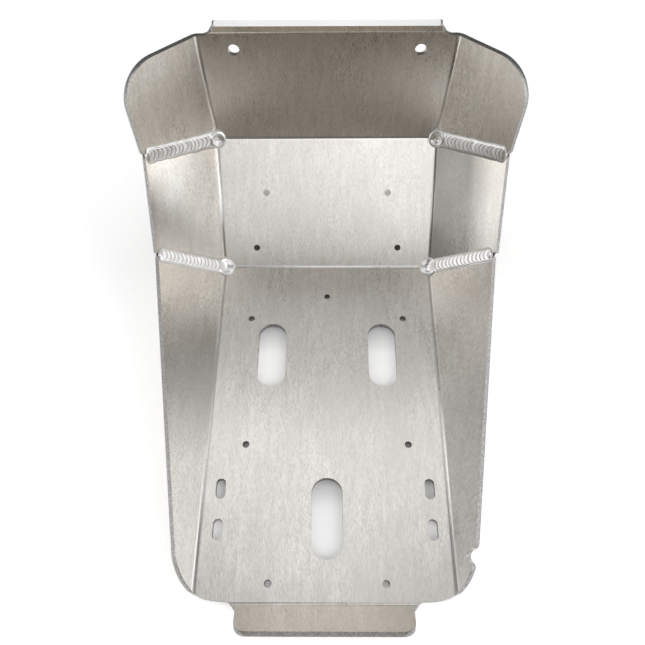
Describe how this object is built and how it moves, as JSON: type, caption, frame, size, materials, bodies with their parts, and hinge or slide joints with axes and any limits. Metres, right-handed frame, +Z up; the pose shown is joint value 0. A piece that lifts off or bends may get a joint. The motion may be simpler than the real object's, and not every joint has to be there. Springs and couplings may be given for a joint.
{
  "type": "motorcycle skid plate",
  "caption": "Folded and welded sheet-aluminium skid plate: a tray under the engine with a ramp, a nose, side wings, mounting holes and drain slots.",
  "frame": {"origin": "on the plane of the floor's underside, on the middle line of the holes, halfway between the front and the back; the outline's centre is 0.8 mm beside it, because the sides differ", "axes": "+X right, +Y forward, towards the front wheel, +Z up; the floor lies flat on Z = 0"},
  "size_m": [0.2858, 0.3814, 0.1802],
  "materials": {
    "brushed_aluminium": "brushed",
    "weld_bead": "satin"
  },
  "bodies": {
    "root": {"skid_plate": "brushed_aluminium", "weld_front_left": "weld_bead", "weld_front_right": "weld_bead", "weld_rear_left": "weld_bead", "weld_rear_right": "weld_bead"}
  },
  "joints": []
}
